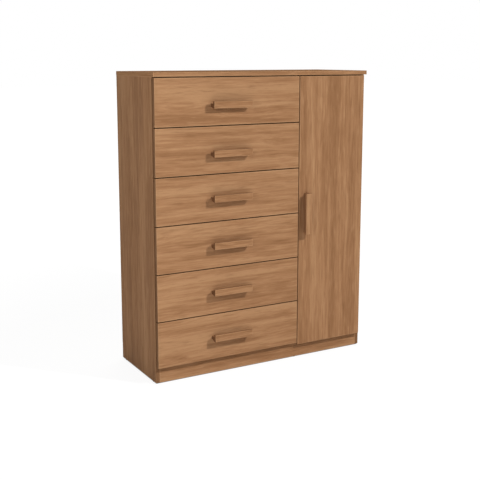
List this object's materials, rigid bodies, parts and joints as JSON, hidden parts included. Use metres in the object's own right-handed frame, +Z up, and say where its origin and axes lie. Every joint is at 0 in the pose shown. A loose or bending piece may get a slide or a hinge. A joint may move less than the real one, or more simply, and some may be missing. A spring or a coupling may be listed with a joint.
{
  "type": "chest of drawers",
  "caption": "Tall woodgrain combination chest with a column of bar-handled drawers beside a full-height cupboard door, on a low plinth.",
  "frame": {"origin": "on the floor, below the middle of the bounding box, handles included", "axes": "+X to the right across the front, +Y from the fronts to the back panel, +Z up"},
  "size_m": [0.9, 0.368, 1.11],
  "materials": {
    "carcass_laminate": "satin woodgrain laminate",
    "front_laminate": "satin woodgrain laminate",
    "handle_laminate": "satin woodgrain foil",
    "drawer_boards": "plain foil",
    "hardboard": "smooth painted hardboard",
    "runner_steel": "zinc plated",
    "zinc_fittings": "nickel plated",
    "clear_plastic": "moulded",
    "dark_plastic": "moulded"
  },
  "bodies": {
    "carcass": {"top_panel": "carcass_laminate", "left_side_panel": "carcass_laminate", "right_side_panel": "carcass_laminate", "centre_partition": "carcass_laminate", "bottom_panel": "carcass_laminate", "plinth_boards": "carcass_laminate", "back_panel": "hardboard", "cupboard_shelves": "carcass_laminate", "shelf_pins": "clear_plastic", "cabinet_runners": "runner_steel", "cam_fittings": "zinc_fittings", "floor_glides": "dark_plastic", "hinge_plates": "zinc_fittings", "hinge_arms": "zinc_fittings"},
    "door": {"door_panel": "front_laminate", "door_handle": "handle_laminate", "door_handle_screws": "zinc_fittings", "hinge_cups": "zinc_fittings"},
    "drawer_1": {"drawer_1_front": "front_laminate", "drawer_1_handle": "handle_laminate", "drawer_1_handle_screws": "zinc_fittings", "drawer_1_sides": "drawer_boards", "drawer_1_back": "drawer_boards", "drawer_1_bottom": "hardboard", "drawer_1_runners": "runner_steel"},
    "drawer_2": {"drawer_2_front": "front_laminate", "drawer_2_handle": "handle_laminate", "drawer_2_handle_screws": "zinc_fittings", "drawer_2_sides": "drawer_boards", "drawer_2_back": "drawer_boards", "drawer_2_bottom": "hardboard", "drawer_2_runners": "runner_steel"},
    "drawer_3": {"drawer_3_front": "front_laminate", "drawer_3_handle": "handle_laminate", "drawer_3_handle_screws": "zinc_fittings", "drawer_3_sides": "drawer_boards", "drawer_3_back": "drawer_boards", "drawer_3_bottom": "hardboard", "drawer_3_runners": "runner_steel"},
    "drawer_4": {"drawer_4_front": "front_laminate", "drawer_4_handle": "handle_laminate", "drawer_4_handle_screws": "zinc_fittings", "drawer_4_sides": "drawer_boards", "drawer_4_back": "drawer_boards", "drawer_4_bottom": "hardboard", "drawer_4_runners": "runner_steel"},
    "drawer_5": {"drawer_5_front": "front_laminate", "drawer_5_handle": "handle_laminate", "drawer_5_handle_screws": "zinc_fittings", "drawer_5_sides": "drawer_boards", "drawer_5_back": "drawer_boards", "drawer_5_bottom": "hardboard", "drawer_5_runners": "runner_steel"},
    "drawer_6": {"drawer_6_front": "front_laminate", "drawer_6_handle": "handle_laminate", "drawer_6_handle_screws": "zinc_fittings", "drawer_6_sides": "drawer_boards", "drawer_6_back": "drawer_boards", "drawer_6_bottom": "hardboard", "drawer_6_runners": "runner_steel"}
  },
  "joints": [
    {"name": "drawer_1_slide", "type": "slide", "parent": "carcass", "child": "drawer_1", "axis": [0, -1, 0], "range_m": [0, 0.22]},
    {"name": "drawer_2_slide", "type": "slide", "parent": "carcass", "child": "drawer_2", "axis": [0, -1, 0], "range_m": [0, 0.22]},
    {"name": "drawer_3_slide", "type": "slide", "parent": "carcass", "child": "drawer_3", "axis": [0, -1, 0], "range_m": [0, 0.22]},
    {"name": "drawer_4_slide", "type": "slide", "parent": "carcass", "child": "drawer_4", "axis": [0, -1, 0], "range_m": [0, 0.22]},
    {"name": "drawer_5_slide", "type": "slide", "parent": "carcass", "child": "drawer_5", "axis": [0, -1, 0], "range_m": [0, 0.22]},
    {"name": "drawer_6_slide", "type": "slide", "parent": "carcass", "child": "drawer_6", "axis": [0, -1, 0], "range_m": [0, 0.22]},
    {"name": "door_hinge", "type": "hinge", "parent": "carcass", "child": "door", "pos_m": [0.4306, -0.149, 0.57325], "axis": [0, 0, 1], "range_deg": [0, 95]}
  ]
}
